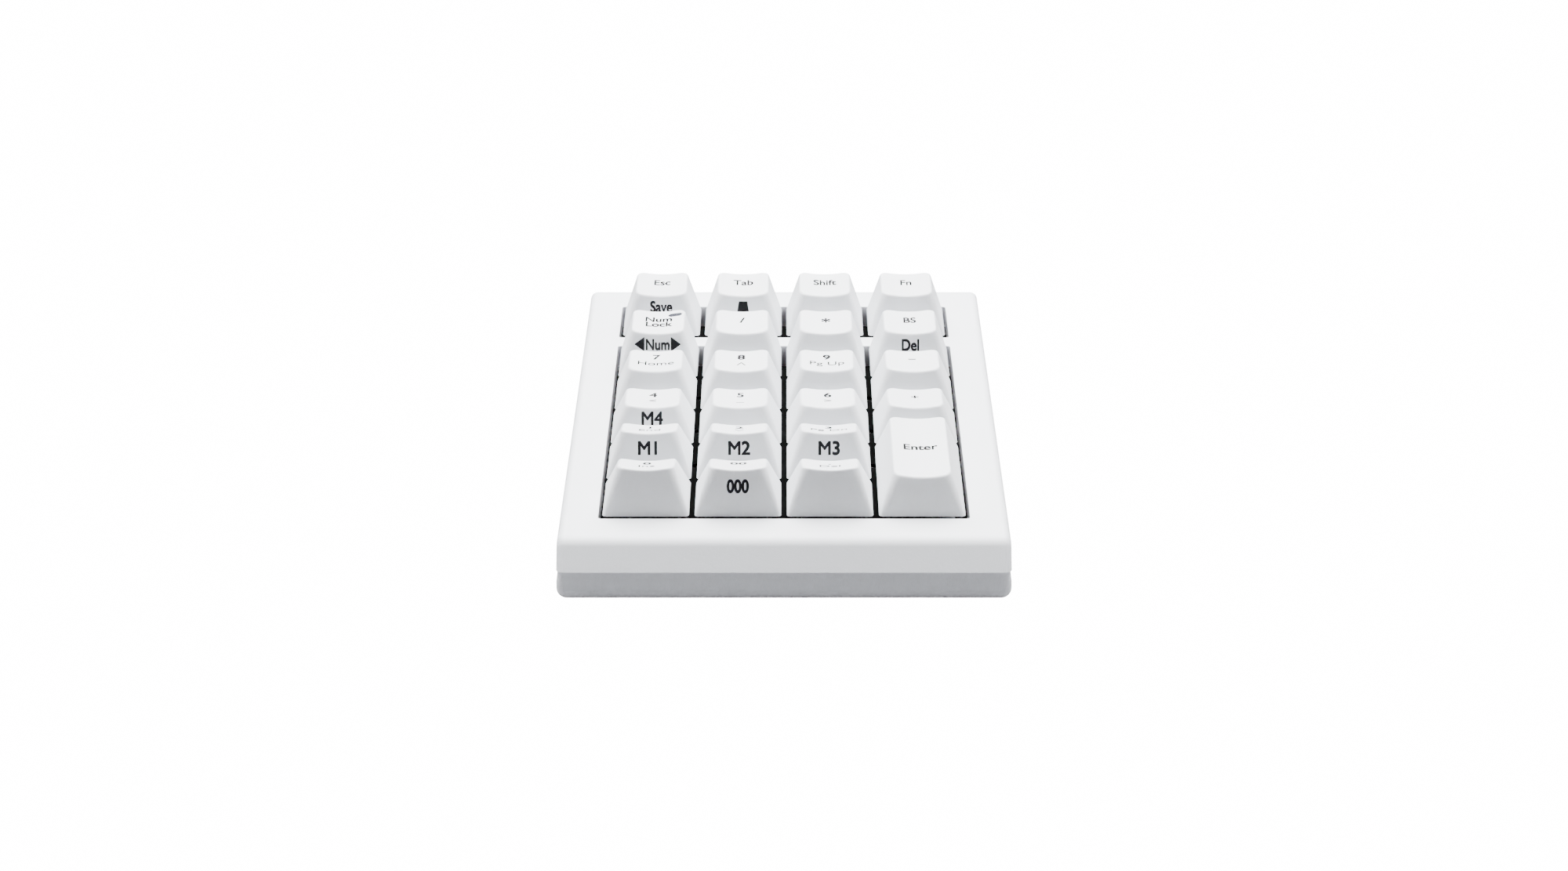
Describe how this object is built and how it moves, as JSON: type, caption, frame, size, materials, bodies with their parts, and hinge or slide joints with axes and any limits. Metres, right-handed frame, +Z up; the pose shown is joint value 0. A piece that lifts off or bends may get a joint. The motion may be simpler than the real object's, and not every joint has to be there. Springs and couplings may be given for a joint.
{
  "type": "numeric keypad",
  "caption": "Free-standing numeric keypad: sculpted keys travel in two wells of a wedge-shaped two-part case, with fold-out tilt legs below.",
  "frame": {"origin": "middle of the case's outline, on the surface that the rubber feet stand on", "axes": "+Z up, +Y towards the back of the keypad, along its length, +X to the right as it is used"},
  "size_m": [0.0928, 0.1452, 0.0386],
  "materials": {
    "cap_white": "fine matt grain",
    "case_white": "fine matt grain",
    "slider_black": "smooth moulded",
    "housing_black": "smooth moulded",
    "plate_black": "powder coat",
    "dome_rubber": "matt rubber",
    "spring_steel": "drawn wire",
    "board_green": "solder mask",
    "wire_steel": "drawn wire",
    "lens_smoke": "smoked clear plastic",
    "screw_steel": "zinc plated",
    "foot_rubber": "matt rubber"
  },
  "bodies": {
    "case": {"upper_case": "case_white", "lower_case": "case_white", "switch_plate": "plate_black", "switch_housings": "housing_black", "dome_sheet": "dome_rubber", "cone_springs": "spring_steel", "circuit_board": "board_green", "case_screws": "screw_steel", "board_screws": "screw_steel", "rubber_feet": "foot_rubber"},
    "key_esc": {"keycap_esc": "cap_white", "plunger_esc": "slider_black"},
    "key_tab": {"keycap_tab": "cap_white", "plunger_tab": "slider_black"},
    "key_shift": {"keycap_shift": "cap_white", "plunger_shift": "slider_black"},
    "key_fn": {"keycap_fn": "cap_white", "plunger_fn": "slider_black"},
    "key_num_lock": {"keycap_num_lock": "cap_white", "plunger_num_lock": "slider_black", "num_lock_lens": "lens_smoke"},
    "key_divide": {"keycap_divide": "cap_white", "plunger_divide": "slider_black"},
    "key_multiply": {"keycap_multiply": "cap_white", "plunger_multiply": "slider_black"},
    "key_backspace": {"keycap_backspace": "cap_white", "plunger_backspace": "slider_black"},
    "key_7": {"keycap_7": "cap_white", "plunger_7": "slider_black"},
    "key_8": {"keycap_8": "cap_white", "plunger_8": "slider_black"},
    "key_9": {"keycap_9": "cap_white", "plunger_9": "slider_black"},
    "key_minus": {"keycap_minus": "cap_white", "plunger_minus": "slider_black"},
    "key_4": {"keycap_4": "cap_white", "plunger_4": "slider_black"},
    "key_5": {"keycap_5": "cap_white", "plunger_5": "slider_black"},
    "key_6": {"keycap_6": "cap_white", "plunger_6": "slider_black"},
    "key_plus": {"keycap_plus": "cap_white", "plunger_plus": "slider_black"},
    "key_1": {"keycap_1": "cap_white", "plunger_1": "slider_black"},
    "key_2": {"keycap_2": "cap_white", "plunger_2": "slider_black"},
    "key_3": {"keycap_3": "cap_white", "plunger_3": "slider_black"},
    "key_0": {"keycap_0": "cap_white", "plunger_0": "slider_black"},
    "key_00": {"keycap_00": "cap_white", "plunger_00": "slider_black"},
    "key_decimal": {"keycap_decimal": "cap_white", "plunger_decimal": "slider_black"},
    "key_enter": {"keycap_enter": "cap_white", "plunger_enter": "slider_black"},
    "stabiliser": {"enter_stabiliser": "wire_steel"},
    "leg_left": {"tilt_leg_left": "case_white"},
    "leg_right": {"tilt_leg_right": "case_white"}
  },
  "joints": [
    {"name": "press_esc", "type": "slide", "parent": "case", "child": "key_esc", "axis": [0, 0.1219, -0.9925], "range_m": [0, 0.004], "stiffness_N_per_m": 110, "springref_m": -0.002, "deforming": ["dome_sheet", "cone_springs"]},
    {"name": "press_tab", "type": "slide", "parent": "case", "child": "key_tab", "axis": [0, 0.1219, -0.9925], "range_m": [0, 0.004], "stiffness_N_per_m": 110, "springref_m": -0.002, "deforming": ["dome_sheet", "cone_springs"]},
    {"name": "press_shift", "type": "slide", "parent": "case", "child": "key_shift", "axis": [0, 0.1219, -0.9925], "range_m": [0, 0.004], "stiffness_N_per_m": 110, "springref_m": -0.002, "deforming": ["dome_sheet", "cone_springs"]},
    {"name": "press_fn", "type": "slide", "parent": "case", "child": "key_fn", "axis": [0, 0.1219, -0.9925], "range_m": [0, 0.004], "stiffness_N_per_m": 110, "springref_m": -0.002, "deforming": ["dome_sheet", "cone_springs"]},
    {"name": "press_num_lock", "type": "slide", "parent": "case", "child": "key_num_lock", "axis": [0, 0.1219, -0.9925], "range_m": [0, 0.004], "stiffness_N_per_m": 110, "springref_m": -0.002, "deforming": ["dome_sheet", "cone_springs"]},
    {"name": "press_divide", "type": "slide", "parent": "case", "child": "key_divide", "axis": [0, 0.1219, -0.9925], "range_m": [0, 0.004], "stiffness_N_per_m": 110, "springref_m": -0.002, "deforming": ["dome_sheet", "cone_springs"]},
    {"name": "press_multiply", "type": "slide", "parent": "case", "child": "key_multiply", "axis": [0, 0.1219, -0.9925], "range_m": [0, 0.004], "stiffness_N_per_m": 110, "springref_m": -0.002, "deforming": ["dome_sheet", "cone_springs"]},
    {"name": "press_backspace", "type": "slide", "parent": "case", "child": "key_backspace", "axis": [0, 0.1219, -0.9925], "range_m": [0, 0.004], "stiffness_N_per_m": 110, "springref_m": -0.002, "deforming": ["dome_sheet", "cone_springs"]},
    {"name": "press_7", "type": "slide", "parent": "case", "child": "key_7", "axis": [0, 0.1219, -0.9925], "range_m": [0, 0.004], "stiffness_N_per_m": 110, "springref_m": -0.002, "deforming": ["dome_sheet", "cone_springs"]},
    {"name": "press_8", "type": "slide", "parent": "case", "child": "key_8", "axis": [0, 0.1219, -0.9925], "range_m": [0, 0.004], "stiffness_N_per_m": 110, "springref_m": -0.002, "deforming": ["dome_sheet", "cone_springs"]},
    {"name": "press_9", "type": "slide", "parent": "case", "child": "key_9", "axis": [0, 0.1219, -0.9925], "range_m": [0, 0.004], "stiffness_N_per_m": 110, "springref_m": -0.002, "deforming": ["dome_sheet", "cone_springs"]},
    {"name": "press_minus", "type": "slide", "parent": "case", "child": "key_minus", "axis": [0, 0.1219, -0.9925], "range_m": [0, 0.004], "stiffness_N_per_m": 110, "springref_m": -0.002, "deforming": ["dome_sheet", "cone_springs"]},
    {"name": "press_4", "type": "slide", "parent": "case", "child": "key_4", "axis": [0, 0.1219, -0.9925], "range_m": [0, 0.004], "stiffness_N_per_m": 110, "springref_m": -0.002, "deforming": ["dome_sheet", "cone_springs"]},
    {"name": "press_5", "type": "slide", "parent": "case", "child": "key_5", "axis": [0, 0.1219, -0.9925], "range_m": [0, 0.004], "stiffness_N_per_m": 110, "springref_m": -0.002, "deforming": ["dome_sheet", "cone_springs"]},
    {"name": "press_6", "type": "slide", "parent": "case", "child": "key_6", "axis": [0, 0.1219, -0.9925], "range_m": [0, 0.004], "stiffness_N_per_m": 110, "springref_m": -0.002, "deforming": ["dome_sheet", "cone_springs"]},
    {"name": "press_plus", "type": "slide", "parent": "case", "child": "key_plus", "axis": [0, 0.1219, -0.9925], "range_m": [0, 0.004], "stiffness_N_per_m": 110, "springref_m": -0.002, "deforming": ["dome_sheet", "cone_springs"]},
    {"name": "press_1", "type": "slide", "parent": "case", "child": "key_1", "axis": [0, 0.1219, -0.9925], "range_m": [0, 0.004], "stiffness_N_per_m": 110, "springref_m": -0.002, "deforming": ["dome_sheet", "cone_springs"]},
    {"name": "press_2", "type": "slide", "parent": "case", "child": "key_2", "axis": [0, 0.1219, -0.9925], "range_m": [0, 0.004], "stiffness_N_per_m": 110, "springref_m": -0.002, "deforming": ["dome_sheet", "cone_springs"]},
    {"name": "press_3", "type": "slide", "parent": "case", "child": "key_3", "axis": [0, 0.1219, -0.9925], "range_m": [0, 0.004], "stiffness_N_per_m": 110, "springref_m": -0.002, "deforming": ["dome_sheet", "cone_springs"]},
    {"name": "press_0", "type": "slide", "parent": "case", "child": "key_0", "axis": [0, 0.1219, -0.9925], "range_m": [0, 0.004], "stiffness_N_per_m": 110, "springref_m": -0.002, "deforming": ["dome_sheet", "cone_springs"]},
    {"name": "press_00", "type": "slide", "parent": "case", "child": "key_00", "axis": [0, 0.1219, -0.9925], "range_m": [0, 0.004], "stiffness_N_per_m": 110, "springref_m": -0.002, "deforming": ["dome_sheet", "cone_springs"]},
    {"name": "press_decimal", "type": "slide", "parent": "case", "child": "key_decimal", "axis": [0, 0.1219, -0.9925], "range_m": [0, 0.004], "stiffness_N_per_m": 110, "springref_m": -0.002, "deforming": ["dome_sheet", "cone_springs"]},
    {"name": "press_enter", "type": "slide", "parent": "case", "child": "key_enter", "axis": [0, 0.1219, -0.9925], "range_m": [0, 0.004], "stiffness_N_per_m": 110, "springref_m": -0.002, "deforming": ["dome_sheet", "cone_springs"]},
    {"name": "stabiliser_turn", "type": "hinge", "parent": "case", "child": "stabiliser", "pos_m": [0.03522, -0.03972, 0.01321], "axis": [0, 0.9925, 0.1219], "range_deg": [-22.2, 0]},
    {"name": "leg_left_fold", "type": "hinge", "parent": "case", "child": "leg_left", "pos_m": [-0.033, 0.06057, 0.0026], "axis": [1, 0, 0], "range_deg": [0, 95]},
    {"name": "leg_right_fold", "type": "hinge", "parent": "case", "child": "leg_right", "pos_m": [0.033, 0.06057, 0.0026], "axis": [1, 0, 0], "range_deg": [0, 95]}
  ],
  "couplings": [
    {"joint": "stabiliser_turn", "follows": "press_enter", "rad_per_m": -96.4}
  ]
}
